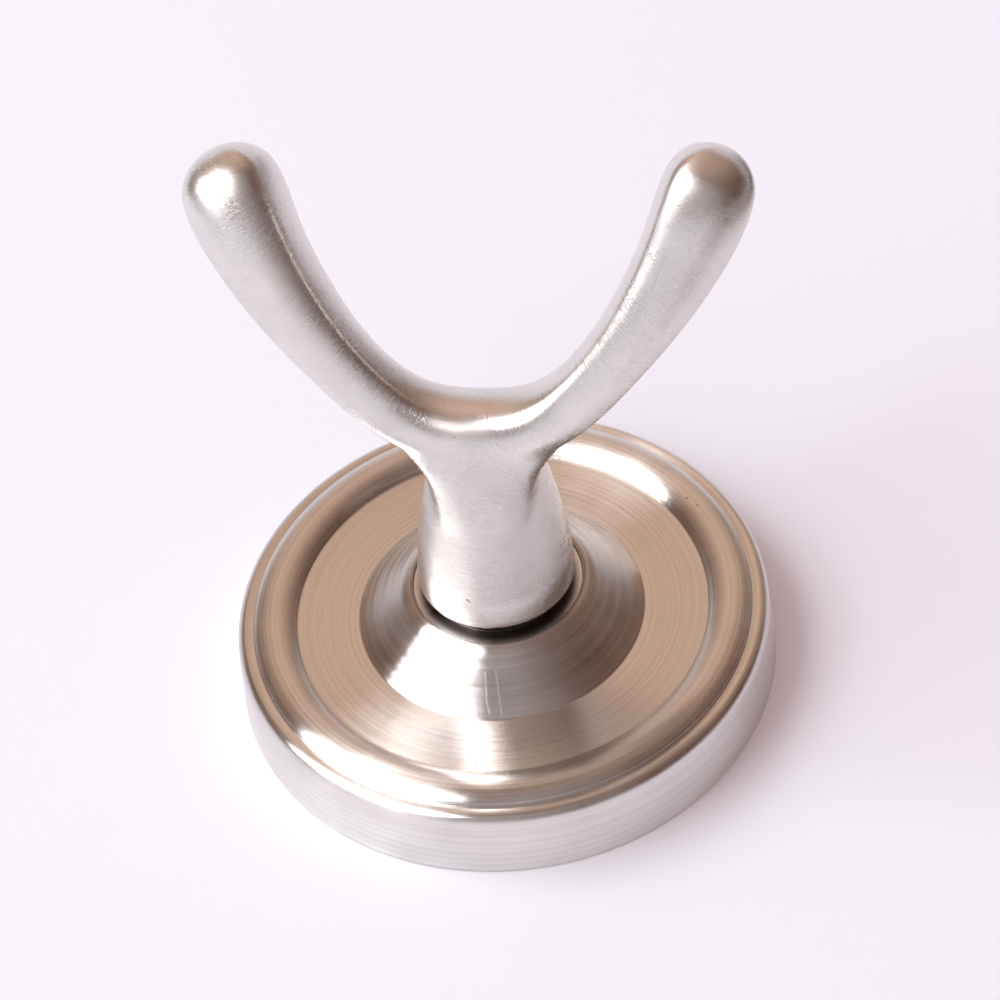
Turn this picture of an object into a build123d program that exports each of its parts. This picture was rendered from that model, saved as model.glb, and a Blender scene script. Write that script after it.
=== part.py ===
from build123d import *
import os
from math import cos, pi, radians, sin, sqrt, tan

# Double robe hook: a forked casting on a round turned rosette, with its hidden wall bracket.
# Millimetres. Origin at the centre of the rosette's wall face, +Z out of the wall,
# X across the two arms. The arms lean towards +Y.

# Rosette, outside
rosette_radius = 32.0  # skirt at the wall
skirt_draft = 0.6  # how much narrower the skirt is at the rim
disc_height = 8.7  # wall face to the flat brushed disc
rim_rise = 0.65  # rim corner above the disc
rim_round = 1.3
ledge_width = 1.9  # rim corner to the bead
ledge_rise = 0.3  # ledge beside the bead, above the disc
bead_width = 5.1
bead_rise = 1.5  # crown of the bead above the disc
bead_step = 0.4  # small upright step on either side of the bead
bead_draft = 0.1  # how far each step leans in
boss_foot_radius = 16.9
boss_slope = 42.0  # degrees
boss_foot_round = 0.4
boss_shoulder_radius = 11.0
boss_shoulder_slope = 20.0  # degrees
boss_shoulder_round = 6.0
seat_radius = 8.6
seat_rise = 6.7  # face that carries the post, above the disc

# Rosette, inside
rosette_wall = 1.8
boss_roof = 4.0  # metal under the post
skirt_wall = 2.0

# Post
post_radius = 9.15
post_edge_round = 0.45
spigot_radius = 5.5
spigot_flats = 9.0  # across the two flats that stop the hook from turning
spigot_height = 1.6
spigot_clearance = 0.1

# Fork: every height below is above the disc
crotch_height = 28.6  # centre of the casting where the arms part
crotch_back = 2.4  # the same centre, behind the post's axis
arm_reach = 26.2  # centre of the last full section from the middle
arm_rise = 26.1  # the same centre above the crotch centre
arm_lean = 11.0  # degrees, at the crotch
arm_lean_growth = 0.009  # extra lean towards the tips, per millimetre squared
section_lean = 16.0  # degrees, how far the front faces lean back
section_power = 2.6  # 2 would be an ellipse, more is squarer
tip_length = 5.1  # rounded end beyond the last full section
# share of the reach, share of the rise, half width in the fork's plane, half thickness
arm_stations = [
    (0.0, 0.0, 4.0, 4.8),
    (0.27, 0.062, 3.5, 4.7),
    (0.588, 0.346, 3.5, 4.8),
    (0.739, 0.543, 4.0, 5.5),
    (0.909, 0.811, 4.85, 6.4),
    (1.0, 1.0, 5.1, 7.0),
]
tip_shares = [0.4, 0.7, 0.9, 0.985]  # of tip_length, where the tip's sections stand
section_points = 16
# share of the height from seat to crotch, centre behind the axis, half width, half depth
stem_stations = [
    (0.0, 0.0, post_radius, post_radius),
    (0.2, 0.8, 8.95, 8.7),
    (0.45, 1.75, 8.0, 7.9),
    (0.7, 2.25, 6.9, 6.7),
    (0.88, 2.35, 6.2, 5.6),
    (1.04, 2.4, 5.7, 4.5),
]
fork_round = 4.0  # between the stem and the fork
# web that spreads the stem's flat front into the arms:
# height above the disc, half width, half depth, how far behind the front face
web_stations = [
    (12.0, 3.0, 3.0, 1.2),
    (16.5, 4.8, 3.4, 0.5),
    (20.5, 5.7, 3.8, 0.1),
    (23.5, 6.3, 4.0, 0.0),
    (26.0, 7.6, 4.0, 0.0),
    (28.0, 9.3, 3.9, 0.1),
    (30.0, 11.6, 3.6, 0.5),
]
web_round = 3.0  # between the web and the rest

# Screw that pulls the post down on the rosette
screw_radius = 3.0
screw_length = 16.0
screw_head_radius = 5.25
screw_head_height = 3.3
screw_head_round = 1.4
screw_socket_flats = 4.0
screw_socket_depth = 2.0
screw_tip_chamfer = 0.6
thread_clearance = 0.05
thread_spare_depth = 2.0
screw_hole_clearance = 0.3
flat_washer_radius = 6.0
flat_washer_height = 1.6
spring_washer_radius = 5.6
spring_washer_height = 1.6
spring_washer_slit = 1.2
spring_washer_slant = 20.0  # degrees
washer_hole_clearance = 0.2

# Wall bracket, folded from strip
bracket_sheet = 1.6
bracket_width = 18.0
bracket_tab_height = 6.2
bracket_tab_slope = 60.0  # degrees from the wall
bracket_bend = 1.0
bracket_corner_round = 2.5
slot_spacing = 24.0
slot_width = 4.5
slot_length = 7.5

# Set screw, its pad in the skirt and the catch across from it
set_screw_radius = 2.0
set_screw_length = 6.0
set_screw_height = 4.0  # axis above the wall
set_screw_tip_radius = 0.5
set_screw_socket_flats = 2.0
set_screw_socket_depth = 2.0
set_screw_sink = 0.1  # outer end below the skirt's surface
set_screw_gap = 0.05  # between its point and the bracket's tab
pad_width = 10.0
pad_depth = 4.5  # inner face of the pad from the skirt's outside
catch_width = 10.0
catch_low = 1.2
catch_high = 3.4
catch_gap = 0.15

# Heights, radii and slopes that follow from the sizes above
seat_height = disc_height + seat_rise
rim_height = disc_height + rim_rise
rim_radius = rosette_radius - skirt_draft
bead_outer_radius = rim_radius - ledge_width
bead_inner_radius = bead_outer_radius - bead_width
hollow_height = disc_height - rosette_wall
roof_height = seat_height - boss_roof
boss_tangent = tan(radians(boss_slope))
shoulder_height = disc_height + (boss_foot_radius - boss_shoulder_radius) * boss_tangent
shoulder_rise = (boss_shoulder_radius - seat_radius) * tan(radians(boss_shoulder_slope))
seat_foot_height = shoulder_height + shoulder_rise
inner_cone_radius = boss_foot_radius - rosette_wall / sin(radians(boss_slope))
hollow_cone_radius = inner_cone_radius + rosette_wall / boss_tangent
roof_cone_radius = inner_cone_radius - (roof_height - disc_height) / boss_tangent
bead_middle_radius = (bead_outer_radius + bead_inner_radius) / 2
bead_outer_top = disc_height + ledge_rise + bead_step
bead_inner_top = disc_height + bead_step
screw_seat_height = roof_height - flat_washer_height - spring_washer_height
screw_tip_height = screw_seat_height + screw_length
spigot_end_height = seat_height - spigot_height
pad_inner = rosette_radius - pad_depth
pad_outer = rim_radius - skirt_wall / 2
tab_run = 1 / tan(radians(bracket_tab_slope))
tab_sine = sin(radians(bracket_tab_slope))
tab_cosine = cos(radians(bracket_tab_slope))
# the set screw ends just inside the skirt, and its point reaches the bracket's tab
set_screw_end = rosette_radius - skirt_draft * set_screw_height / rim_height - set_screw_sink
set_screw_point = set_screw_end - set_screw_length
set_screw_touch = set_screw_height + set_screw_tip_radius
bracket_reach = set_screw_point - set_screw_gap - set_screw_touch * tab_run


def corner(sketch, across, up):
    """Returns the sketch's vertex nearest to a point."""
    return sketch.vertices().sort_by_distance((across, up))[0]


def tab_face(height):
    """Returns how far from the centre a tab's wall-side face stands at a height."""
    return bracket_reach + height * tab_run


# Rosette: one hollow turning with a bead, a flat disc and a conical boss
with BuildPart() as rosette:
    with BuildSketch(Plane.XZ) as profile:
        with BuildLine():
            Polyline(
                (bead_outer_radius, disc_height + ledge_rise),
                (rim_radius, rim_height),
                (rosette_radius, 0),
                (rosette_radius - skirt_wall, 0),
                (rim_radius - skirt_wall, hollow_height),
                (hollow_cone_radius, hollow_height),
                (roof_cone_radius, roof_height),
                (0, roof_height),
                (0, seat_height),
                (seat_radius, seat_height),
                (seat_radius, seat_foot_height),
                (boss_shoulder_radius, shoulder_height),
                (boss_foot_radius, disc_height),
                (bead_inner_radius, disc_height),
                (bead_inner_radius + bead_draft, bead_inner_top),
            )
            ThreePointArc(
                (bead_inner_radius + bead_draft, bead_inner_top),
                (bead_middle_radius, disc_height + bead_rise),
                (bead_outer_radius - bead_draft, bead_outer_top),
            )
            Line(
                (bead_outer_radius - bead_draft, bead_outer_top),
                (bead_outer_radius, disc_height + ledge_rise),
            )
        make_face()
        fillet(corner(profile, rim_radius, rim_height), rim_round)
        fillet(corner(profile, boss_foot_radius, disc_height), boss_foot_round)
        fillet(corner(profile, boss_shoulder_radius, shoulder_height), boss_shoulder_round)
    revolve(axis=Axis.Z)
    # pad that takes the set screw's thread
    with BuildSketch(Plane.XY):
        with Locations((0, (pad_inner + pad_outer) / 2)):
            Rectangle(pad_width, pad_outer - pad_inner)
    extrude(amount=hollow_height + rosette_wall / 2)
    # catch that hooks under the bracket's other tab
    with BuildSketch(Plane.YZ):
        with BuildLine():
            Polyline(
                (-tab_face(catch_low) - catch_gap, catch_low),
                (-tab_face(catch_high) - catch_gap, catch_high),
                (-pad_outer, catch_high),
                (-pad_outer, catch_low),
                close=True,
            )
        make_face()
    extrude(amount=catch_width / 2, both=True)
    # recess with two flats for the post's spigot
    with BuildSketch(Plane.XY.offset(seat_height)):
        Circle(spigot_radius + spigot_clearance)
        Rectangle(
            2 * rosette_radius,
            spigot_flats + 2 * spigot_clearance,
            mode=Mode.INTERSECT,
        )
    extrude(amount=-spigot_height - spigot_clearance, mode=Mode.SUBTRACT)
    with Locations((0, 0, seat_height)):
        Hole(screw_radius + screw_hole_clearance, depth=boss_roof)
    # threaded hole for the set screw
    with BuildSketch(Plane.XZ.offset(-rosette_radius)):
        with Locations((0, set_screw_height)):
            Circle(set_screw_radius + thread_clearance)
    extrude(amount=rosette_radius - pad_inner + skirt_wall, mode=Mode.SUBTRACT)
rosette.part.label = "rosette"


def squircle(half_depth, half_width, shrink):
    """Returns points round a section that is squarer than an ellipse."""
    points = []
    for step in range(section_points):
        angle = 2 * pi * (step + 0.5) / section_points
        across = abs(cos(angle)) ** (2 / section_power)
        along = abs(sin(angle)) ** (2 / section_power)
        points.append(
            (
                half_depth * shrink * (across if cos(angle) > 0 else -across),
                half_width * shrink * (along if sin(angle) > 0 else -along),
            )
        )
    return points


def arm_centre(reach_share, rise_share):
    """Returns a point of the right arm's centre line."""
    rise = arm_rise * rise_share
    back = crotch_back + rise * tan(radians(arm_lean)) + arm_lean_growth * rise**2
    return Vector(arm_reach * reach_share, back, disc_height + crotch_height + rise)


# Sections of the fork from the left tip over the crotch to the right tip
centres = [arm_centre(reach, rise) for reach, rise, _, _ in arm_stations]
centre_line = Spline(
    [Vector(-point.X, point.Y, point.Z) for point in reversed(centres[1:])] + centres
)
fork_normal = Vector(0, cos(radians(section_lean)), -sin(radians(section_lean)))


def section_plane(point, direction):
    """Returns the plane across the fork at a point, its x axis to the fork's back."""
    depth = fork_normal - direction * fork_normal.dot(direction)
    return Plane(origin=point, x_dir=depth, z_dir=direction)


def arm_sections(side):
    """Returns (plane, half depth, half width, shrink) along one arm, from crotch to tip."""
    sections = []
    for (_, _, half_width, half_depth), centre in zip(arm_stations, centres):
        point = Vector(side * centre.X, centre.Y, centre.Z)
        direction = centre_line.tangent_at(centre_line.param_at_point(point))
        sections.append((section_plane(point, direction), half_depth, half_width, 1.0))
    for share in tip_shares:
        point_beyond = point + direction * side * tip_length * share
        shrink = sqrt(1 - share**2)
        sections.append((section_plane(point_beyond, direction), half_depth, half_width, shrink))
    return sections


def front_face(level):
    """Returns where the fork's leaning front face stands at a height above the disc."""
    crotch_front = crotch_back - arm_stations[0][3] / cos(radians(section_lean))
    return crotch_front + (level - crotch_height) * tan(radians(section_lean))


fork_sections = list(reversed(arm_sections(-1)[1:])) + arm_sections(1)

# Hook: the fork and its stem, cast as one
with BuildPart() as hook:
    for plane, half_depth, half_width, shrink in fork_sections:
        with BuildSketch(plane):
            with BuildLine():
                Spline(squircle(half_depth, half_width, shrink), periodic=True)
            make_face()
    loft()
    for share, back, half_width, half_depth in stem_stations:
        level = seat_height + share * (crotch_height - seat_rise)
        with BuildSketch(Plane(origin=(0, back, level))):
            Ellipse(half_width, half_depth)
    loft()
    fillet(hook.edges(Select.NEW), fork_round)
    for level, half_width, half_depth, inset in web_stations:
        front = front_face(level) + inset
        with BuildSketch(Plane(origin=(0, front + half_depth, disc_height + level))):
            with BuildLine():
                Spline(squircle(half_width, half_depth, 1.0), periodic=True)
            make_face()
    loft()
    fillet(hook.edges(Select.NEW), web_round)
    fillet(hook.edges().group_by(Axis.Z)[0], post_edge_round)
    with BuildSketch(Plane.XY.offset(seat_height)):
        Circle(spigot_radius)
        Rectangle(2 * spigot_radius, spigot_flats, mode=Mode.INTERSECT)
    extrude(amount=-spigot_height)
    with Locations(Plane(origin=(0, 0, spigot_end_height), z_dir=(0, 0, -1))):
        Hole(
            screw_radius + thread_clearance,
            depth=screw_tip_height + thread_spare_depth - spigot_end_height,
        )
hook.part.label = "hook"

# Button-head screw that comes up through the rosette into the post
with BuildPart() as post_screw:
    with BuildSketch(Plane.XZ) as screw_profile:
        with BuildLine():
            Polyline(
                (0, screw_seat_height - screw_head_height),
                (screw_head_radius, screw_seat_height - screw_head_height),
                (screw_head_radius, screw_seat_height),
                (screw_radius, screw_seat_height),
                (screw_radius, screw_tip_height),
                (0, screw_tip_height),
                close=True,
            )
        make_face()
        head_corner = (screw_head_radius, screw_seat_height - screw_head_height)
        fillet(corner(screw_profile, *head_corner), screw_head_round)
        chamfer(corner(screw_profile, screw_radius, screw_tip_height), screw_tip_chamfer)
    revolve(axis=Axis.Z)
    with BuildSketch(Plane.XY.offset(screw_seat_height - screw_head_height)):
        RegularPolygon(screw_socket_flats / 2, 6, major_radius=False)
    extrude(amount=screw_socket_depth, mode=Mode.SUBTRACT)
post_screw.part.label = "post_screw"

with BuildPart() as flat_washer:
    with BuildSketch(Plane.XY.offset(roof_height - flat_washer_height)):
        Circle(flat_washer_radius)
        Circle(screw_radius + washer_hole_clearance, mode=Mode.SUBTRACT)
    extrude(amount=flat_washer_height)
flat_washer.part.label = "flat_washer"

# Split ring that keeps the screw tight
with BuildPart() as spring_washer:
    with BuildSketch(Plane.XY.offset(screw_seat_height)):
        Circle(spring_washer_radius)
        Circle(screw_radius + washer_hole_clearance, mode=Mode.SUBTRACT)
        with Locations((spring_washer_radius / 2 + screw_radius / 2, 0)):
            Rectangle(
                2 * spring_washer_radius,
                spring_washer_slit,
                align=(Align.CENTER, Align.CENTER),
                rotation=spring_washer_slant,
                mode=Mode.SUBTRACT,
            )
    extrude(amount=spring_washer_height)
spring_washer.part.label = "spring_washer"

# Wall bracket: one strip with both ends folded out into slanted tabs
tab_end_height = bracket_tab_height - bracket_sheet * tab_cosine
tab_end = (tab_face(tab_end_height), tab_end_height)
tab_end_inner = (tab_end[0] - bracket_sheet * tab_sine, bracket_tab_height)
bend_inner = (tab_face(bracket_sheet) - bracket_sheet / tab_sine, bracket_sheet)
with BuildPart() as wall_bracket:
    with BuildSketch(Plane.YZ) as fold:
        with BuildLine():
            Polyline(
                (0, 0),
                (bracket_reach, 0),
                tab_end,
                tab_end_inner,
                bend_inner,
                (0, bracket_sheet),
            )
            mirror(about=Plane.YZ)
        make_face()
        for side in (-1, 1):
            outer_bend = corner(fold, side * bracket_reach, 0)
            fillet(outer_bend, bracket_bend + bracket_sheet)
            inner_bend = corner(fold, side * bend_inner[0], bracket_sheet)
            fillet(inner_bend, bracket_bend)
    extrude(amount=bracket_width / 2, both=True)
    tab_ends = wall_bracket.faces().group_by(Axis.Z)[-1]
    fillet(tab_ends.edges().filter_by(Axis.X, reverse=True), bracket_corner_round)
    with BuildSketch(Plane.XY):
        with GridLocations(0, slot_spacing, 1, 2):
            SlotOverall(slot_length, slot_width, rotation=90)
    extrude(amount=bracket_sheet, mode=Mode.SUBTRACT)
wall_bracket.part.label = "wall_bracket"

# Set screw: its point bears under the tab's slope and draws the rosette to the wall
with BuildPart() as set_screw:
    with BuildSketch(Plane.XZ.offset(-set_screw_end)) as screw_end:
        with Locations((0, set_screw_height)):
            Circle(set_screw_radius)
    extrude(amount=set_screw_length)
    point_edge = set_screw.edges().sort_by(Axis.Y)[0]
    chamfer(point_edge, set_screw_radius - set_screw_tip_radius)
    with BuildSketch(screw_end.faces()[0]):
        RegularPolygon(set_screw_socket_flats / 2, 6, major_radius=False)
    extrude(amount=-set_screw_socket_depth, mode=Mode.SUBTRACT)
set_screw.part.label = "set_screw"

os.makedirs("parts", exist_ok=True)
for piece in (
    rosette,
    hook,
    post_screw,
    flat_washer,
    spring_washer,
    wall_bracket,
    set_screw,
):
    export_step(piece.part, f"parts/{piece.part.label}.step")
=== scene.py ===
"""Double robe hook in satin nickel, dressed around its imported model.

The frame has its origin at the centre of the rosette's wall face, +Z out of the wall and X across
the two arms. Blender's lengths are metres, and the sizes of the pieces are written as millimetres
times MM.
"""

from __future__ import annotations

import logging
import math
from collections.abc import Callable
from dataclasses import dataclass, field
from enum import Enum

import bmesh
import bpy
from mathutils import Matrix, Vector
from mathutils.kdtree import KDTree

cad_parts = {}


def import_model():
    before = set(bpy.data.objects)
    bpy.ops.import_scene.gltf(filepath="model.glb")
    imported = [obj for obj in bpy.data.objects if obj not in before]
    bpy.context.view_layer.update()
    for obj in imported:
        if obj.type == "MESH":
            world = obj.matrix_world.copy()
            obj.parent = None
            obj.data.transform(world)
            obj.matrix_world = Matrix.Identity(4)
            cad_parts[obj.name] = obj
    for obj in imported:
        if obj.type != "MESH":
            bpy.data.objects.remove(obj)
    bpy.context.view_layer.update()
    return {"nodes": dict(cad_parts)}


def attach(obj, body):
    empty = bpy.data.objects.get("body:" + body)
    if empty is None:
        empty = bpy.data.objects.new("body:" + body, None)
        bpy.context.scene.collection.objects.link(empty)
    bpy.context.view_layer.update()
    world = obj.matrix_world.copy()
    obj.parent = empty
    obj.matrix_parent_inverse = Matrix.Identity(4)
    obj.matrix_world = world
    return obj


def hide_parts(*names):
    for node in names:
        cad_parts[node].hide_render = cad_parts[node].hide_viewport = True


MM = 0.001
BODY = "root"
MERGE_REACH = 0.001 * MM
NOISE_DETAIL = 2.0
NOISE_ROUGHNESS = 0.6
QUARTER_TURN = 0.25
Colour = tuple[float, float, float]
Point = tuple[float, float]

log = logging.getLogger("robe_hook")


class Brushing(Enum):
    """The way in which a surface was brushed."""

    TURNED = "rings round the rosette's axis"
    GROUND = "short strokes round the casting"
    PRESSED = "fine grain of pressed sheet"


class Value:
    """A number socket in a node tree that takes part in Python expressions."""

    def __init__(self, graph: Graph, socket: bpy.types.NodeSocket) -> None:
        """Wraps a socket.

        Args:
            graph: The tree that the socket belongs to.
            socket: The output socket that carries the number.
        """
        self.graph = graph
        self.socket = socket

    def _math(self, operation: str, *operands: Value | float) -> Value:
        """Adds a Math node.

        Args:
            operation: The Math node's operation.
            operands: What it works on, in order.

        Returns:
            The node's result.
        """
        inputs = dict(enumerate(operands))
        node = self.graph.node("ShaderNodeMath", {"operation": operation}, inputs)
        return Value(self.graph, node.outputs[0])

    def __add__(self, other: Value | float) -> Value:
        """Returns the sum."""
        return self._math("ADD", self, other)

    def __sub__(self, other: Value | float) -> Value:
        """Returns the difference."""
        return self._math("SUBTRACT", self, other)

    def __rsub__(self, other: float) -> Value:
        """Returns the reflected difference."""
        return self._math("SUBTRACT", other, self)

    def __mul__(self, other: Value | float) -> Value:
        """Returns the product."""
        return self._math("MULTIPLY", self, other)

    def __truediv__(self, other: Value | float) -> Value:
        """Returns the quotient."""
        return self._math("DIVIDE", self, other)

    def __pow__(self, other: Value | float) -> Value:
        """Returns the power."""
        return self._math("POWER", self, other)

    __radd__ = __add__
    __rmul__ = __mul__

    def at_least(self, low: Value | float) -> Value:
        """Returns the larger of this value and low."""
        return self._math("MAXIMUM", self, low)

    def at_most(self, high: Value | float) -> Value:
        """Returns the smaller of this value and high."""
        return self._math("MINIMUM", self, high)

    def step(self, start: float, end: float) -> Value:
        """Returns a smooth step.

        Args:
            start: Where the step is 0.
            end: Where the step is 1.

        Returns:
            A value from 0 to 1.
        """
        node = self.graph.node(
            "ShaderNodeMapRange",
            {"interpolation_type": "SMOOTHSTEP"},
            {"Value": self, "From Min": start, "From Max": end},
        )
        return Value(self.graph, node.outputs["Result"])


class Graph:
    """Builds the nodes of one material or world."""

    def __init__(self, tree: bpy.types.NodeTree) -> None:
        """Empties the tree.

        Args:
            tree: The node tree to build in.
        """
        self.tree = tree
        tree.nodes.clear()

    def node(
        self,
        kind: str,
        settings: dict[str, object] | None = None,
        inputs: dict[str | int, object] | None = None,
    ) -> bpy.types.Node:
        """Adds a node.

        Args:
            kind: The node's type.
            settings: Attributes that are set before the inputs.
            inputs: Sockets by name or number, each with a value, a Value or a socket to link.

        Returns:
            The node.
        """
        node = self.tree.nodes.new(kind)
        for name, setting in (settings or {}).items():
            setattr(node, name, setting)
        for key, source in (inputs or {}).items():
            if isinstance(source, Value):
                source = source.socket
            if isinstance(source, bpy.types.NodeSocket):
                self.tree.links.new(source, node.inputs[key])
            else:
                node.inputs[key].default_value = source
        return node

    def vector(self, operation: str, *operands: object) -> bpy.types.NodeSocket:
        """Adds a Vector Math node.

        Args:
            operation: The node's operation.
            operands: Vectors, or sockets that carry them.

        Returns:
            The resulting vector's socket.
        """
        inputs = dict(enumerate(operands))
        return self.node("ShaderNodeVectorMath", {"operation": operation}, inputs).outputs[0]

    def scaled(self, vector: bpy.types.NodeSocket, scale: Value) -> bpy.types.NodeSocket:
        """Returns a vector times a number."""
        node = self.node("ShaderNodeVectorMath", {"operation": "SCALE"}, {0: vector, "Scale": scale})
        return node.outputs[0]

    def dot(self, vector: bpy.types.NodeSocket, other: object) -> Value:
        """Returns the dot product of two vectors."""
        node = self.node("ShaderNodeVectorMath", {"operation": "DOT_PRODUCT"}, {0: vector, 1: other})
        return Value(self, node.outputs["Value"])

    def parts(self, vector: bpy.types.NodeSocket) -> tuple[Value, Value, Value]:
        """Returns a vector's three components."""
        node = self.node("ShaderNodeSeparateXYZ", inputs={0: vector})
        return tuple(Value(self, output) for output in node.outputs)

    def joined(self, *components: Value | float) -> bpy.types.NodeSocket:
        """Returns the vector with these three components."""
        node = self.node("ShaderNodeCombineXYZ", inputs=dict(enumerate(components)))
        return node.outputs[0]

    def place(self) -> bpy.types.NodeSocket:
        """Returns the place on the object."""
        return self.node("ShaderNodeTexCoord").outputs["Object"]

    def noise(self, vector: bpy.types.NodeSocket, fourth: Value | float) -> Value:
        """Adds a four-dimensional noise.

        Args:
            vector: The first three coordinates, where 1 is about the size of one feature.
            fourth: The fourth coordinate.

        Returns:
            Noise about 0.
        """
        node = self.node(
            "ShaderNodeTexNoise",
            {"noise_dimensions": "4D"},
            {
                "Vector": vector,
                "W": fourth,
                "Scale": 1.0,
                "Detail": NOISE_DETAIL,
                "Roughness": NOISE_ROUGHNESS,
            },
        )
        return Value(self, node.outputs[0]) - 0.5

    def mixed(
        self, factor: Value, first: Colour | bpy.types.NodeSocket, second: Colour
    ) -> bpy.types.NodeSocket:
        """Mixes two colours.

        Args:
            factor: 0 gives the first colour and 1 the second.
            first: One colour, or a socket that carries it.
            second: The other colour.

        Returns:
            The mixed colour's socket.
        """
        if isinstance(first, tuple):
            first = (*first, 1.0)
        node = self.node(
            "ShaderNodeMix",
            {"data_type": "RGBA", "clamp_factor": True},
            {"Factor": factor, "A": first, "B": (*second, 1.0)},
        )
        return node.outputs["Result"]


@dataclass(frozen=True)
class Mark:
    """A small blemish along a straight line, in its own colour over the metal.

    It fades from the core's share of its reach outwards. Strength says how much of its colour
    shows, and cover how much of the metal's sheen it takes away.
    """

    start: Vector
    end: Vector
    reach: float
    colour: Colour
    strength: float = 1.0
    cover: float = 0.0
    core: float = 0.35

    def mask(self, graph: Graph, place: bpy.types.NodeSocket) -> Value:
        """Builds the blemish's mask.

        Args:
            graph: The material's tree.
            place: The place on the object.

        Returns:
            1 on the blemish and 0 away from it.
        """
        line = self.end - self.start
        offset = graph.vector("SUBTRACT", place, tuple(self.start))
        if line.length > 0:
            run = graph.dot(offset, tuple(line.normalized())).at_least(0.0).at_most(line.length)
            nearest = graph.scaled(graph.joined(*line.normalized()), run)
            offset = graph.vector("SUBTRACT", offset, nearest)
        return 1.0 - (graph.dot(offset, offset) ** 0.5).step(self.reach * self.core, self.reach)


@dataclass(frozen=True)
class Metal:
    """A brushed metal finish.

    Lengths are metres. Strokes tilt the normal across themselves: a grain that is finer than can
    be seen, which spreads the highlights, and a coarser one that shows as lines. On the rosette
    the shader's own anisotropy round the axis does the spreading, and turn_slope carries its rings
    on down the upright walls. A painted shade, a dark colour that stands in for the shadow under the
    hook's foot, lies round the axis as far as the gap's reach. Lower than smooth_below, strokes
    tilt the normal by smooth_share only. Both end softly, over edge.
    """

    name: str
    colour: Colour
    dark: Colour
    roughness: float
    brushing: Brushing
    grain_width: float = 0.012 * MM
    grain_length: float = 0.6 * MM
    grain_tilt: float = 0.0
    grain_tails: float = 0.0
    line_width: float = 0.22 * MM
    line_tilt: float = 0.12
    line_length: float = 7.0 * MM
    line_shade: float = 1.1
    line_roughness: float = 0.10
    turn_radius: float = 20.0 * MM
    turn_slope: float = 0.7
    cloud_scale: float = 150.0
    cloud_shade: float = 1.4
    cloud_roughness: float = 0.14
    mean_shade: float = 0.55
    least_roughness: float = 0.05
    # The three gap fields paint shade: a dark ring round the axis that stands in for the shadow under the
    # hook's foot.
    gap_shade_reach: float = 0.0
    gap_painted_shade: Colour = (0.05, 0.035, 0.03)
    gap_shade_strength: float = 0.85
    smooth_below: float = 0.0
    smooth_share: float = 0.15
    edge: float = 1.2 * MM
    anisotropy: float = 0.0
    marks: tuple[Mark, ...] = ()

    def _strokes(self, graph: Graph) -> tuple[bpy.types.NodeSocket, Value, Value]:
        """Lays out the brushing.

        Args:
            graph: The material's tree.

        Returns:
            The direction across the strokes, the fine grain and the lines, both about 0.
        """
        x, y, z = graph.parts(graph.place())
        if self.brushing is Brushing.TURNED:
            radius = (x * x + y * y) ** 0.5
            ring = graph.vector("NORMALIZE", graph.joined(y * -1.0, x, 0.0))
            normal = graph.node("ShaderNodeNewGeometry").outputs["Normal"]
            across = graph.vector("CROSS_PRODUCT", normal, ring)
            distance = radius + z * self.turn_slope
            sides = (x / radius * self.turn_radius, y / radius * self.turn_radius, z)
        elif self.brushing is Brushing.GROUND:
            across = graph.node("ShaderNodeAttribute", {"attribute_name": "grain"}).outputs["Vector"]
            run = graph.node("ShaderNodeAttribute", {"attribute_name": "run"}).outputs["Fac"]
            distance, sides = Value(graph, run), (x, y, z)
        else:
            across = graph.joined(0.0, 1.0, 0.0)
            distance, sides = y, (x, z, 0.0)
        strokes = []
        for width, length in (
            (self.grain_width, self.grain_length),
            (self.line_width, self.line_length),
        ):
            first, second, third = (side * (1 / length) for side in sides)
            vector = graph.joined(distance * (1 / width), first, second)
            strokes.append(graph.noise(vector, third))
        return across, *strokes

    def material(self) -> bpy.types.Material:
        """Builds the material.

        Returns:
            The material.
        """
        material = bpy.data.materials.new(self.name)
        material.use_nodes = True
        graph = Graph(material.node_tree)
        stroke_side, grain, line = self._strokes(graph)
        place = graph.place()
        _, _, height = graph.parts(place)
        if self.brushing is Brushing.GROUND:
            normal = graph.node("ShaderNodeAttribute", {"attribute_name": "facing"}).outputs["Vector"]
        else:
            normal = graph.node("ShaderNodeNewGeometry").outputs["Normal"]
        tails = (grain * grain) ** 0.5 * self.grain_tails + self.grain_tilt
        tilt = grain * tails + line * self.line_tilt
        if self.smooth_below > 0:
            above = height.step(self.smooth_below - self.edge, self.smooth_below)
            tilt = tilt * (above * (1 - self.smooth_share) + self.smooth_share)
        brushed = graph.vector("NORMALIZE", graph.vector("ADD", normal, graph.scaled(stroke_side, tilt)))
        clouds = graph.noise(graph.vector("MULTIPLY", place, (self.cloud_scale,) * 3), 0.0)
        shade = clouds * self.cloud_shade + line * self.line_shade + self.mean_shade
        colour = graph.mixed(shade, self.dark, self.colour)
        roughness = clouds * self.cloud_roughness + line * self.line_roughness + self.roughness
        metallic: Value | float = 1.0
        # Painted shade: darkens the colour round the axis, in place of the shadow under the hook's foot.
        if self.gap_shade_reach > 0:
            across, along, _ = graph.parts(place)
            radius = (across * across + along * along) ** 0.5
            near = 1.0 - radius.step(self.gap_shade_reach - self.edge, self.gap_shade_reach)
            colour = graph.mixed(near * self.gap_shade_strength, colour, self.gap_painted_shade)
        for mark in self.marks:
            mask = mark.mask(graph, place) * mark.strength
            colour = graph.mixed(mask, colour, mark.colour)
            metallic = (metallic - mask * mark.cover).at_least(0.0)
            roughness = roughness + mask * mark.cover
        shader = graph.node(
            "ShaderNodeBsdfPrincipled",
            inputs={
                "Base Color": colour,
                "Metallic": metallic,
                "Roughness": roughness.at_least(self.least_roughness).at_most(1.0),
                "Normal": brushed,
                "Anisotropic": self.anisotropy,
                "Anisotropic Rotation": QUARTER_TURN,
            },
        )
        graph.node("ShaderNodeOutputMaterial", inputs={"Surface": shader.outputs[0]})
        return material


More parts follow.
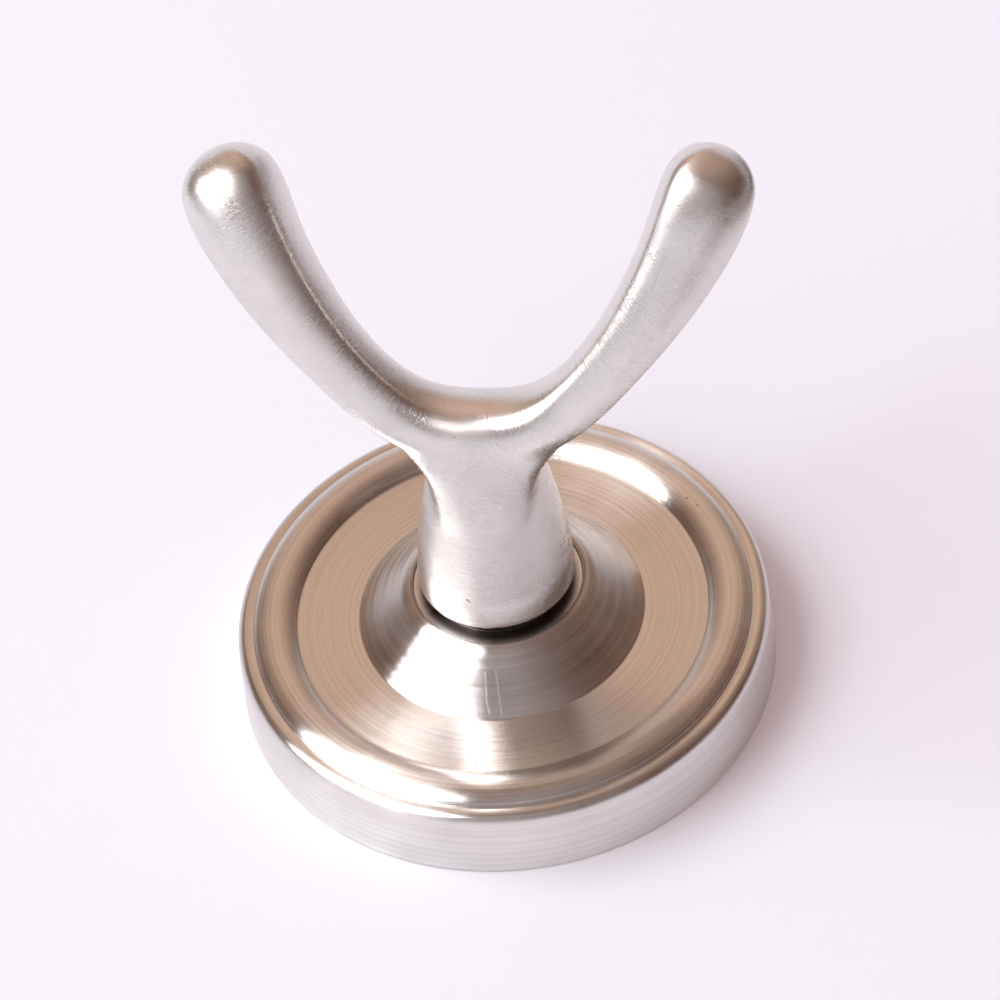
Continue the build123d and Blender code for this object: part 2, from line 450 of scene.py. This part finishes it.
NICKEL = {"colour": (0.82, 0.80, 0.775), "dark": (0.66, 0.635, 0.61)}
DRIP = {"reach": 0.17 * MM, "colour": (0.93, 0.91, 0.89), "cover": 0.4, "strength": 0.28}
PIT = {"reach": 0.2 * MM, "colour": (0.16, 0.11, 0.09), "cover": 0.2, "strength": 0.7}
NICK = {"reach": 0.2 * MM, "colour": (0.97, 0.96, 0.95), "cover": 0.2, "strength": 0.5}
SCRATCH = {"reach": 0.16 * MM, "colour": (0.50, 0.47, 0.45), "strength": 0.35}
TURNED_NICKEL = Metal(
    "turned_nickel",
    **NICKEL,
    roughness=0.23,
    brushing=Brushing.TURNED,
    anisotropy=0.98,
    line_width=0.17 * MM,
    line_length=40.0 * MM,
    line_shade=2.6,
    # Painted shade under the hook's foot, out to this radius round the axis.
    gap_shade_reach=9.85 * MM,
    marks=(
        Mark(Vector((-0.3, -12.8, 12.4)) * MM, Vector((-0.1, -15.2, 10.2)) * MM, **DRIP),
        Mark(Vector((-0.1, -15.2, 10.2)) * MM, Vector((0.3, -16.4, 9.2)) * MM, **DRIP),
        Mark(Vector((0.9, -12.6, 12.6)) * MM, Vector((1.4, -15.1, 10.2)) * MM, **DRIP),
        Mark(Vector((1.4, -15.1, 10.2)) * MM, Vector((1.7, -16.5, 9.0)) * MM, **DRIP),
        Mark(Vector((2.0, -17.6, 8.7)) * MM, Vector((2.1, -18.1, 8.7)) * MM, **DRIP),
        Mark(Vector((22.2, 15.3, 10.2)) * MM, Vector((22.2, 15.3, 10.2)) * MM, **PIT),
        Mark(Vector((20.9, 16.4, 10.2)) * MM, Vector((20.9, 16.4, 10.2)) * MM, **PIT),
        Mark(Vector((-18.4, -23.5, 9.1)) * MM, Vector((-18.4, -23.5, 9.1)) * MM, **PIT),
    ),
)
GROUND_NICKEL = Metal(
    "ground_nickel",
    **NICKEL,
    roughness=0.28,
    brushing=Brushing.GROUND,
    grain_length=0.12 * MM,
    grain_tilt=0.9,
    grain_tails=10.0,
    line_width=0.2 * MM,
    line_length=3.5 * MM,
    line_tilt=0.02,
    line_shade=0.5,
    smooth_below=19.5 * MM,
    marks=(
        Mark(Vector((-2.3, -7.8, 19.3)) * MM, Vector((-1.8, -7.8, 18.9)) * MM, **PIT),
        Mark(Vector((2.2, -4.2, 31.2)) * MM, Vector((2.4, -4.2, 31.5)) * MM, **NICK),
        Mark(Vector((20.5, 3.7, 58.0)) * MM, Vector((24.0, 7.5, 66.0)) * MM, **SCRATCH),
    ),
)
ZINC = Metal(
    "zinc_plate",
    colour=(0.66, 0.68, 0.70),
    dark=(0.50, 0.52, 0.54),
    roughness=0.34,
    brushing=Brushing.PRESSED,
)
STEEL = Metal(
    "machined_steel",
    colour=(0.56, 0.56, 0.57),
    dark=(0.40, 0.40, 0.41),
    roughness=0.28,
    brushing=Brushing.TURNED,
)


def finished(mesh: bpy.types.Mesh, name: str, finish: Metal) -> bpy.types.Object:
    """Puts a mesh in the scene as a finished piece.

    Args:
        mesh: The piece's mesh, with its place in its vertices.
        name: The piece's name.
        finish: What it is finished in.

    Returns:
        The piece, riding on the object's one body.
    """
    mesh.name = name
    mesh.materials.clear()
    mesh.materials.append(finish.material())
    piece = bpy.data.objects.new(name, mesh)
    bpy.context.scene.collection.objects.link(piece)
    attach(piece, BODY)
    return piece


def as_mesh(shape: bmesh.types.BMesh, name: str) -> bpy.types.Mesh:
    """Turns a shape into a smooth-shaded mesh with its normals outward.

    Args:
        shape: The shape, which is used up.
        name: The mesh's name.

    Returns:
        The mesh.
    """
    bmesh.ops.recalc_face_normals(shape, faces=shape.faces)
    for face in shape.faces:
        face.smooth = True
    mesh = bpy.data.meshes.new(name)
    shape.to_mesh(mesh)
    shape.free()
    return mesh


def evaluated(mesh: bpy.types.Mesh, dress: Callable[[bpy.types.Object], None]) -> bpy.types.Mesh:
    """Runs modifiers over a mesh.

    Args:
        mesh: The mesh to work on.
        dress: Adds the modifiers to the object that it is given.

    Returns:
        The resulting mesh.
    """
    holder = bpy.data.objects.new("holder", mesh)
    bpy.context.scene.collection.objects.link(holder)
    dress(holder)
    graph = bpy.context.evaluated_depsgraph_get()
    result = bpy.data.meshes.new_from_object(holder.evaluated_get(graph), depsgraph=graph)
    bpy.data.objects.remove(holder)
    return result


def combined(mesh: bpy.types.Mesh, other: bpy.types.Mesh, operation: str) -> bpy.types.Mesh:
    """Adds one mesh to another, or takes it away.

    Args:
        mesh: The mesh that is changed.
        other: The mesh that it is joined with or loses.
        operation: UNION or DIFFERENCE.

    Returns:
        The resulting mesh.
    """
    tool = bpy.data.objects.new("tool", other)
    bpy.context.scene.collection.objects.link(tool)

    def dress(holder: bpy.types.Object) -> None:
        """Adds the boolean."""
        boolean = holder.modifiers.new("combine", "BOOLEAN")
        boolean.operation = operation
        boolean.solver = "EXACT"
        boolean.object = tool

    result = evaluated(mesh, dress)
    bpy.data.objects.remove(tool)
    return result


@dataclass
class Rosette:
    """The round rosette: a turned shell whose outside has a rim, a bead, a disc and a boss.

    A shallow gap is turned round the seat, which draws the dark line under the hook's foot together
    with the painted shade that the finish lays round the axis. Each rounding of the profile has a
    guard point on either side, so that the flats beside it shade as flats. The catch's two inner
    radii are its lower and its upper one.
    """

    radius: float = 32.0 * MM
    top_radius: float = 31.4 * MM
    disc_height: float = 8.7 * MM
    rim_rise: float = 0.65 * MM
    rim_round: float = 1.3 * MM
    ledge_rise: float = 0.3 * MM
    bead_outer: float = 29.5 * MM
    bead_inner: float = 24.4 * MM
    bead_rise: float = 1.5 * MM
    bead_step: float = 0.4 * MM
    bead_draft: float = 0.1 * MM
    boss_foot: float = 16.9 * MM
    boss_slope: float = math.radians(42)
    boss_foot_round: float = 0.4 * MM
    shoulder_radius: float = 11.0 * MM
    shoulder_slope: float = math.radians(20)
    shoulder_round: float = 4.0 * MM
    gap_outer: float = 10.0 * MM
    gap_inner: float = 7.8 * MM
    gap_depth: float = 0.55 * MM
    seat_rise: float = 6.7 * MM
    wall: float = 1.8 * MM
    skirt_wall: float = 2.0 * MM
    roof: float = 4.0 * MM
    hole: float = 3.3 * MM
    recess: float = 5.6 * MM
    recess_depth: float = 1.7 * MM
    pad_width: float = 10.0 * MM
    pad_inner: float = 27.5 * MM
    pad_outer: float = 30.4 * MM
    pad_height: float = 7.8 * MM
    catch_low: float = 1.2 * MM
    catch_high: float = 3.4 * MM
    catch_inner: Point = (23.84 * MM, 25.11 * MM)
    screw_hole: float = 2.05 * MM
    screw_height: float = 4.0 * MM
    wall_edge: float = 0.25 * MM
    edge: float = 0.12 * MM
    guard: float = 0.15 * MM
    segments: int = 256
    bead_steps: int = 24
    round_steps: float = 9.0
    least_steps: int = 3
    thread_segments: int = 48
    sharp_angle: float = math.radians(40)
    finish: Metal = TURNED_NICKEL

    def corners(self) -> list[tuple[Point, float]]:
        """Lists the profile's corners, each with its rounding, from the wall face round the outside."""
        disc = self.disc_height
        seat = disc + self.seat_rise
        under = disc - self.wall
        roof = seat - self.roof
        slope = math.tan(self.boss_slope)
        shoulder = disc + (self.boss_foot - self.shoulder_radius) * slope
        gap_top = shoulder + (self.shoulder_radius - self.gap_outer) * math.tan(self.shoulder_slope)
        cone = self.boss_foot - self.wall / math.sin(self.boss_slope)
        outer_top = disc + self.ledge_rise + self.bead_step
        inner_top = disc + self.bead_step
        return [
            ((self.radius, 0.0), self.wall_edge),
            ((self.top_radius, disc + self.rim_rise), self.rim_round),
            ((self.bead_outer, disc + self.ledge_rise), self.edge),
            ((self.bead_outer - self.bead_draft, outer_top), self.edge),
            *((point, 0.0) for point in self.bead(outer_top, inner_top)),
            ((self.bead_inner + self.bead_draft, inner_top), self.edge),
            ((self.bead_inner, disc), self.edge),
            ((self.boss_foot, disc), self.boss_foot_round),
            ((self.shoulder_radius, shoulder), self.shoulder_round),
            ((self.gap_outer, gap_top), self.edge),
            ((self.gap_outer, gap_top - self.gap_depth), self.edge),
            ((self.gap_inner, gap_top - self.gap_depth), self.edge),
            ((self.gap_inner, seat), self.edge),
            ((self.recess, seat), self.edge),
            ((self.recess, seat - self.recess_depth), self.edge),
            ((self.hole, seat - self.recess_depth), self.edge),
            ((self.hole, roof), self.edge),
            ((cone - (roof - disc) / slope, roof), self.edge),
            ((cone + self.wall / slope, under), self.edge),
            ((self.top_radius - self.skirt_wall, under), self.edge),
            ((self.radius - self.skirt_wall, 0.0), self.edge),
        ]

    def bead(self, outer_top: float, inner_top: float) -> list[Point]:
        """Works out the bead's crown between its two steps.

        Args:
            outer_top: Height of the outer step's top.
            inner_top: Height of the inner step's top.

        Returns:
            Points of the crown, from outside to inside, without its ends.
        """
        start = Vector((self.bead_outer - self.bead_draft, outer_top))
        end = Vector((self.bead_inner + self.bead_draft, inner_top))
        crown = Vector(((self.bead_outer + self.bead_inner) / 2, self.disc_height + self.bead_rise))
        first, second = crown - start, end - crown
        area = 2 * (first.x * second.y - first.y * second.x)
        squares = Vector((start.length_squared, crown.length_squared, end.length_squared))
        rises = Vector((crown.y - end.y, end.y - start.y, start.y - crown.y))
        runs = Vector((end.x - crown.x, start.x - end.x, crown.x - start.x))
        centre = Vector((squares.dot(rises), squares.dot(runs))) / area
        radius = (start - centre).length
        low = math.atan2(start.y - centre.y, start.x - centre.x)
        high = math.atan2(end.y - centre.y, end.x - centre.x)
        points = []
        for index in range(1, self.bead_steps):
            angle = low + (high - low) * index / self.bead_steps
            points.append((centre.x + radius * math.cos(angle), centre.y + radius * math.sin(angle)))
        return points

    def profile(self) -> list[Point]:
        """Rounds the corners.

        Returns:
            The closed profile's points, with guard points beside each rounding.
        """
        corners = self.corners()
        points: list[Point] = []
        for index, (corner, rounding) in enumerate(corners):
            here = Vector(corner)
            if rounding == 0.0:
                points.append(tuple(here))
                continue
            before = (Vector(corners[index - 1][0]) - here).normalized()
            after = (Vector(corners[(index + 1) % len(corners)][0]) - here).normalized()
            half = before.angle(after) / 2
            reach = rounding / math.tan(half)
            centre = here + (before + after).normalized() * rounding / math.sin(half)
            start, end = here + before * reach, here + after * reach
            low = math.atan2(start.y - centre.y, start.x - centre.x)
            sweep = math.atan2(end.y - centre.y, end.x - centre.x) - low
            sweep = (sweep + math.pi) % (2 * math.pi) - math.pi
            steps = round(abs(sweep) * math.sqrt(rounding / MM) * self.round_steps)
            steps = max(self.least_steps, steps)
            points.append(tuple(start + before * self.guard))
            for step in range(steps + 1):
                angle = low + sweep * step / steps
                turned = Vector((math.cos(angle), math.sin(angle))) * rounding
                points.append(tuple(centre + turned))
            points.append(tuple(end + after * self.guard))
        return points

    def mesh(self) -> bpy.types.Mesh:
        """Spins the profile round the axis.

        Returns:
            The rosette's mesh.
        """
        shape = bmesh.new()
        ring = [shape.verts.new((across, 0.0, up)) for across, up in self.profile()]
        edges = [shape.edges.new((ring[index - 1], ring[index])) for index in range(len(ring))]
        bmesh.ops.spin(
            shape,
            geom=ring + edges,
            cent=(0, 0, 0),
            axis=(0, 0, 1),
            angle=2 * math.pi,
            steps=self.segments,
            use_merge=True,
        )
        bmesh.ops.remove_doubles(shape, verts=shape.verts, dist=MERGE_REACH)
        return as_mesh(shape, "shell")

    def pad(self) -> bpy.types.Mesh:
        """Returns the block that takes the set screw's thread."""
        shape = bmesh.new()
        depth = self.pad_outer - self.pad_inner
        middle = Matrix.Translation((0, self.pad_inner + depth / 2, self.pad_height / 2))
        size = Matrix.Diagonal((self.pad_width, depth, self.pad_height, 1))
        bmesh.ops.create_cube(shape, size=1.0, matrix=middle @ size)
        return as_mesh(shape, "pad")

    def catch(self) -> bpy.types.Mesh:
        """Returns the slanted catch that hooks under the bracket."""
        shape = bmesh.new()
        ring = [
            shape.verts.new((-self.pad_width / 2, -across, up))
            for across, up in (
                (self.catch_inner[0], self.catch_low),
                (self.catch_inner[1], self.catch_high),
                (self.pad_outer, self.catch_high),
                (self.pad_outer, self.catch_low),
            )
        ]
        face = shape.faces.new(ring)
        drawn = bmesh.ops.extrude_face_region(shape, geom=[face])["geom"]
        moved = [item for item in drawn if isinstance(item, bmesh.types.BMVert)]
        bmesh.ops.translate(shape, verts=moved, vec=(self.pad_width, 0, 0))
        return as_mesh(shape, "catch")

    def thread(self) -> bpy.types.Mesh:
        """Returns the cylinder that the set screw's hole takes away."""
        shape = bmesh.new()
        length = self.radius - self.pad_inner + self.skirt_wall
        middle = Matrix.Translation((0, self.radius - length / 2 + self.skirt_wall, self.screw_height))
        bmesh.ops.create_cone(
            shape,
            cap_ends=True,
            segments=self.thread_segments,
            radius1=self.screw_hole,
            radius2=self.screw_hole,
            depth=length + 2 * self.skirt_wall,
            matrix=middle @ Matrix.Rotation(math.pi / 2, 4, "X"),
        )
        return as_mesh(shape, "thread")

    def build(self) -> bpy.types.Object:
        """Builds the rosette.

        Returns:
            The piece that stands for the rosette.
        """
        mesh = self.mesh()
        for other, operation in (
            (self.pad(), "UNION"),
            (self.catch(), "UNION"),
            (self.thread(), "DIFFERENCE"),
        ):
            mesh = combined(mesh, other, operation)
        mesh.set_sharp_from_angle(angle=self.sharp_angle)
        piece = finished(mesh, "rosette_shell", self.finish)
        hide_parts("rosette")
        return piece


@dataclass
class Hook:
    """The forked casting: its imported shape, made one smooth skin.

    The brushing runs round the centre line of the stem and of each arm. The stem's part of that
    line is given by how far behind the axis and how high it passes, and an arm's part by shares
    of its reach and of its rise.
    """

    source: bpy.types.Object
    voxel: float = 0.28 * MM
    foot: float = 16.4 * MM
    foot_blend: float = 2.0 * MM
    relaxing: float = 0.5
    rounds: int = 24
    junction: Vector = field(default_factory=lambda: Vector((0, 0, 34)) * MM)
    junction_reach: float = 11.0 * MM
    junction_rounds: int = 80
    crotch: Vector = field(default_factory=lambda: Vector((0, 2.4, 37.3)) * MM)
    stem: tuple[Point, ...] = ((0.0, 10.0 * MM), (0.5 * MM, 22.0 * MM))
    reach: float = 26.2 * MM
    rise: float = 26.1 * MM
    lean: float = math.tan(math.radians(11))
    lean_growth: float = 9.0
    corner_rounds: int = 3
    corner_cut: float = 0.25
    neighbours: int = 6
    neighbour_reach: float = 0.3 * MM
    blend: float = 5.0 * MM
    arm_start: float = 30.0 * MM
    arm_blend: float = 8.0 * MM
    flatness: float = math.radians(22)
    shares: tuple[Point, ...] = (
        (0.0, 0.0),
        (0.27, 0.062),
        (0.588, 0.346),
        (0.739, 0.543),
        (0.909, 0.811),
        (1.2, 1.33),
    )
    finish: Metal = GROUND_NICKEL

    def skin(self) -> bpy.types.Mesh:
        """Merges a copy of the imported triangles, remeshes it evenly and smooths it above the foot.

        Returns:
            The even mesh.
        """
        shape = bmesh.new()
        shape.from_mesh(self.source.data)
        bmesh.ops.remove_doubles(shape, verts=shape.verts, dist=MERGE_REACH)

        def remesh(holder: bpy.types.Object) -> None:
            """Adds the remesh."""
            even = holder.modifiers.new("even", "REMESH")
            even.mode = "VOXEL"
            even.voxel_size = self.voxel
            even.use_smooth_shade = True

        def smooth(holder: bpy.types.Object) -> None:
            """Adds the smoothing, weighted by height and by nearness to the fork's junction."""
            for name, rounds, share in (
                ("above_foot", self.rounds, self.above_foot),
                ("junction", self.junction_rounds, self.near_junction),
            ):
                group = holder.vertex_groups.new(name=name)
                for vertex in holder.data.vertices:
                    weight = share(vertex.co)
                    if weight > 0:
                        group.add([vertex.index], min(1.0, weight), "REPLACE")
                relax = holder.modifiers.new(name, "SMOOTH")
                relax.factor = self.relaxing
                relax.iterations = rounds
                relax.vertex_group = group.name

        return evaluated(evaluated(as_mesh(shape, "hook_copy"), remesh), smooth)

    def above_foot(self, place: Vector) -> float:
        """Returns how far a point is above the flat foot, as a share that may pass 1."""
        return (place.z - self.foot) / self.foot_blend

    def near_junction(self, place: Vector) -> float:
        """Returns how near a point is to the fork's junction, at most 1."""
        return 1 - ((place - self.junction).length / self.junction_reach) ** 2

    def centre_line(self) -> list[tuple[Vector, Vector, float]]:
        """Walks along the stem and the right arm.

        Returns:
            Points on the centre line, each with its direction and its distance from the wall.
        """
        points = [Vector((0, behind, up)) for behind, up in self.stem]
        for reach, rise in self.shares:
            up = self.rise * rise
            offset = Vector((self.reach * reach, up * self.lean + self.lean_growth * up * up, up))
            points.append(self.crotch + offset)
        cut, rest = self.corner_cut, 1 - self.corner_cut
        for _ in range(self.corner_rounds):
            finer = [points[0]]
            for start, end in zip(points, points[1:]):
                finer += [start * rest + end * cut, start * cut + end * rest]
            points = [*finer, points[-1]]
        steps, distance = [], 0.0
        for start, end in zip(points, points[1:]):
            distance += (end - start).length
            steps.append((end, (end - start).normalized(), distance))
        return steps

    def brush(self, mesh: bpy.types.Mesh) -> None:
        """Stores which way each point's brushing runs, and which way the ground face looks.

        Args:
            mesh: The skin, which gets the attributes grain, run and facing.
        """
        steps = self.centre_line()
        tree = KDTree(len(steps))
        for index, (point, _, _) in enumerate(steps):
            tree.insert(point, index)
        tree.balance()
        mesh.attributes.new("grain", "FLOAT_VECTOR", "POINT")
        mesh.attributes.new("run", "FLOAT", "POINT")
        mesh.attributes.new("facing", "FLOAT_VECTOR", "POINT")
        grain, run, facing = (mesh.attributes[name] for name in ("grain", "run", "facing"))
        for vertex in mesh.vertices:
            here = Vector((abs(vertex.co.x), vertex.co.y, vertex.co.z))
            near = tree.find_n(here, self.neighbours)
            total = sum(1 / (gap + self.neighbour_reach) for _, _, gap in near)
            direction, distance = Vector((0, 0, 0)), 0.0
            for _, index, gap in near:
                point, ahead, start = steps[index]
                share = 1 / (gap + self.neighbour_reach) / total
                direction += ahead * share
                distance += (start + (here - point).dot(ahead)) * share
            direction.x *= max(-1.0, min(1.0, vertex.co.x / self.blend))
            direction.normalize()
            grain.data[vertex.index].vector = direction
            run.data[vertex.index].value = distance
            share = max(0.0, min(1.0, (distance - self.arm_start) / self.arm_blend))
            facing.data[vertex.index].vector = self.ground_face(vertex.normal, direction, share)

    def ground_face(self, normal: Vector, axis: Vector, share: float) -> Vector:
        """Turns a normal the way that grinding leaves it, with flat faces between short ridges.

        Args:
            normal: The casting's normal.
            axis: The arm's direction.
            share: How much of the turn applies.

        Returns:
            The turned normal.
        """
        front = Vector((0, -1, 0))
        front = (front - axis * front.dot(axis)).normalized()
        side = axis.cross(front)
        ahead, aside = normal.dot(front), normal.dot(side)
        angle = math.atan2(aside, ahead)
        if abs(angle) > math.pi / 2:
            return normal.copy()
        bend = self.flatness * math.sin(math.pi * (2 * angle / math.pi) ** 2)
        angle -= math.copysign(bend * share, angle)
        across = front * math.cos(angle) + side * math.sin(angle)
        return (axis * normal.dot(axis) + across * math.hypot(ahead, aside)).normalized()

    def build(self) -> bpy.types.Object:
        """Builds the hook.

        Returns:
            The piece that stands for the hook.
        """
        mesh = self.skin()
        self.brush(mesh)
        piece = finished(mesh, "hook_casting", self.finish)
        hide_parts("hook")
        return piece


@dataclass(frozen=True)
class Lamp:
    """One lamp of the soft window at the left, its direction in degrees and its power in watts."""

    name: str
    colour: Colour
    power: float
    size: Point
    direction: Point
    distance: float


@dataclass(frozen=True)
class Patch:
    """A soft patch of the room: azimuth and elevation in degrees, how narrow and how strong."""

    azimuth: float
    elevation: float
    narrowness: float
    strength: float = 1.0


@dataclass
class Studio:
    """The camera, the pale floor, the soft window and the room that the metal mirrors.

    The window is two lamps, one that lights the floor and one that the metal mirrors. They hang
    at different distances, because lamps that share a plane lose light in the render. In the
    metal's reflections only, the pale table ends at the right.
    """

    elevation: float = math.radians(47.82)
    azimuth: float = math.radians(11.8)
    roll: float = math.radians(-8.0)
    lens: float = 126.0
    sensor_width: float = 36.0
    nearest: float = 0.01
    disc_height: float = 8.7 * MM
    distance: float = 413.3 * MM
    shift_right: float = 0.25 * MM
    shift_down: float = 12.7 * MM
    floor_radius: float = 3.0
    floor_segments: int = 96
    floor_colour: Colour = (0.90, 0.89, 0.94)
    floor_roughness: float = 0.8
    floor_gloss: float = 0.1
    table_edge: Point = (0.16, 0.30)
    table_side: Point = (0.1, 0.6)
    table_colour: Colour = (0.14, 0.08, 0.055)
    daylight: Lamp = Lamp("daylight", (0.78, 0.94, 1.0), 47.5, (2.5, 1.45), (-80, 50), 2.3)
    mirrored: Lamp = Lamp("mirrored_window", (1.0, 0.97, 1.0), 70.0, (1.65, 1.45), (-64, 50), 2.2)
    ambient: Colour = (0.62, 0.47, 0.465)
    brown: Colour = (0.12, 0.06, 0.04)
    tan: Colour = (0.65, 0.475, 0.365)
    grey: Colour = (0.28, 0.29, 0.31)
    pale: Colour = (0.88, 0.86, 0.93)
    tan_patch: Patch = Patch(-170, 45, 4.5)
    grey_patch: Patch = Patch(0, 45, 5)
    pale_behind: Patch = Patch(-165, 0, 8, 0.36)
    pale_ahead: Patch = Patch(-15, 0, 4, 0.2)
    horizon: Point = (0.0, 0.12)

    def camera(self) -> bpy.types.Object:
        """Places the camera at the photograph's angle.

        Returns:
            The camera.
        """
        back = Vector(
            (
                math.sin(self.azimuth) * math.cos(self.elevation),
                -math.cos(self.azimuth) * math.cos(self.elevation),
                math.sin(self.elevation),
            )
        )
        level_right = Vector((math.cos(self.azimuth), math.sin(self.azimuth), 0))
        turn = Matrix.Rotation(self.roll, 3, back)
        right = turn @ level_right
        up = turn @ back.cross(level_right)
        target = Vector((0, 0, self.disc_height))
        place = target - right * self.shift_right + up * self.shift_down + back * self.distance
        data = bpy.data.cameras.new("camera")
        data.lens = self.lens
        data.sensor_width = self.sensor_width
        data.sensor_fit = "HORIZONTAL"
        data.clip_start = self.nearest
        camera = bpy.data.objects.new("camera", data)
        turned = Matrix((right, up, back)).transposed().to_4x4()
        camera.matrix_world = Matrix.Translation(place) @ turned
        bpy.context.scene.collection.objects.link(camera)
        bpy.context.scene.camera = camera
        return camera

    def floor(self) -> bpy.types.Object:
        """Lays the pale floor.

        Returns:
            The floor, which isn't part of the object.
        """
        shape = bmesh.new()
        bmesh.ops.create_circle(
            shape, cap_ends=True, radius=self.floor_radius, segments=self.floor_segments
        )
        mesh = bpy.data.meshes.new("floor")
        shape.to_mesh(mesh)
        shape.free()
        material = bpy.data.materials.new("pale_floor")
        material.use_nodes = True
        graph = Graph(material.node_tree)
        across, along, _ = graph.parts(graph.place())
        away = (across * across + along * along) ** 0.5
        right = (across / away).step(*self.table_side) * away.step(*self.table_edge)
        mirrored = Value(graph, graph.node("ShaderNodeLightPath").outputs["Is Glossy Ray"])
        colour = graph.mixed(right * mirrored, self.floor_colour, self.table_colour)
        shader = graph.node(
            "ShaderNodeBsdfPrincipled",
            inputs={
                "Base Color": colour,
                "Roughness": self.floor_roughness,
                "Specular IOR Level": self.floor_gloss,
            },
        )
        graph.node("ShaderNodeOutputMaterial", inputs={"Surface": shader.outputs[0]})
        mesh.materials.append(material)
        floor = bpy.data.objects.new("floor", mesh)
        bpy.context.scene.collection.objects.link(floor)
        return floor

    def window(self, lamp: Lamp) -> bpy.types.Object:
        """Hangs one lamp of the window, facing the object.

        Args:
            lamp: What is hung.

        Returns:
            The lamp's object.
        """
        data = bpy.data.lights.new(lamp.name, "AREA")
        data.shape = "RECTANGLE"
        data.size, data.size_y = lamp.size
        data.energy = lamp.power
        data.color = lamp.colour
        hung = bpy.data.objects.new(lamp.name, data)
        towards = self.towards(*lamp.direction)
        hung.location = towards * lamp.distance
        hung.rotation_euler = towards.to_track_quat("Z", "Y").to_euler()
        bpy.context.scene.collection.objects.link(hung)
        return hung

    @staticmethod
    def towards(azimuth: float, elevation: float) -> Vector:
        """Returns the direction at an azimuth and elevation in degrees, 0 being towards -Y."""
        side, up = math.radians(azimuth), math.radians(elevation)
        return Vector((math.sin(side) * math.cos(up), -math.cos(side) * math.cos(up), math.sin(up)))

    def lobe(self, graph: Graph, ray: bpy.types.NodeSocket, patch: Patch) -> Value:
        """Builds a soft patch of the room.

        Args:
            graph: The world's tree.
            ray: The ray's direction.
            patch: Where the patch is and how narrow.

        Returns:
            The patch's strength in its middle, falling to 0.
        """
        middle = tuple(self.towards(patch.azimuth, patch.elevation))
        return graph.dot(ray, middle).at_least(0.0) ** patch.narrowness * patch.strength

    def room(self) -> bpy.types.World:
        """Builds the world: plain and pale for light, a warm room in the metal's reflections.

        Returns:
            The world.
        """
        world = bpy.data.worlds.new("room")
        world.use_nodes = True
        bpy.context.scene.world = world
        graph = Graph(world.node_tree)
        ray = graph.vector("NORMALIZE", graph.node("ShaderNodeTexCoord").outputs["Generated"])
        _, _, up = graph.parts(ray)
        tan = graph.scaled(graph.joined(*self.tan), self.lobe(graph, ray, self.tan_patch))
        grey = graph.scaled(graph.joined(*self.grey), self.lobe(graph, ray, self.grey_patch))
        walls = graph.vector("ADD", graph.vector("ADD", self.brown, tan), grey)
        behind = self.lobe(graph, ray, self.pale_behind)
        ahead = self.lobe(graph, ray, self.pale_ahead)
        low = 1.0 - (up - behind - ahead).step(*self.horizon)
        colour = graph.mixed(low, walls, self.pale)
        seen = graph.node("ShaderNodeBackground", inputs={"Color": colour, "Strength": 1.0})
        plain = graph.node("ShaderNodeBackground", inputs={"Color": (*self.ambient, 1.0), "Strength": 1.0})
        path = graph.node("ShaderNodeLightPath")
        mix = graph.node(
            "ShaderNodeMixShader",
            inputs={0: path.outputs["Is Glossy Ray"], 1: plain.outputs[0], 2: seen.outputs[0]},
        )
        graph.node("ShaderNodeOutputWorld", inputs={"Surface": mix.outputs[0]})
        return world

    def build(self) -> None:
        """Builds the whole studio."""
        self.camera()
        self.floor()
        self.window(self.daylight).visible_glossy = False
        self.window(self.mirrored).visible_diffuse = False
        self.room()
        bpy.context.scene.view_settings.view_transform = "Standard"


def corners(box: tuple[Vector, Vector]) -> list[list[float]]:
    """Returns a box as plain lists of numbers."""
    return [[float(number) for number in corner] for corner in box]


def main() -> None:
    """Builds the object's looks piece by piece, then the studio round it."""
    logging.basicConfig(level=logging.INFO)
    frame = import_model()
    rosette = Rosette().build()
    log.info("%s: %d faces", rosette.name, len(rosette.data.polygons))
    hook = Hook(source=frame["nodes"]["hook"]).build()
    log.info("%s: %d faces", hook.name, len(hook.data.polygons))
    for name, finish in (
        ("post_screw", STEEL),
        ("spring_washer", STEEL),
        ("set_screw", STEEL),
        ("flat_washer", ZINC),
        ("wall_bracket", ZINC),
    ):
        node = frame["nodes"][name]
        node.data.materials.clear()
        node.data.materials.append(finish.material())
        log.info("%s: finished in %s", name, finish.name)
    Studio().build()


if __name__ == "__main__":
    main()
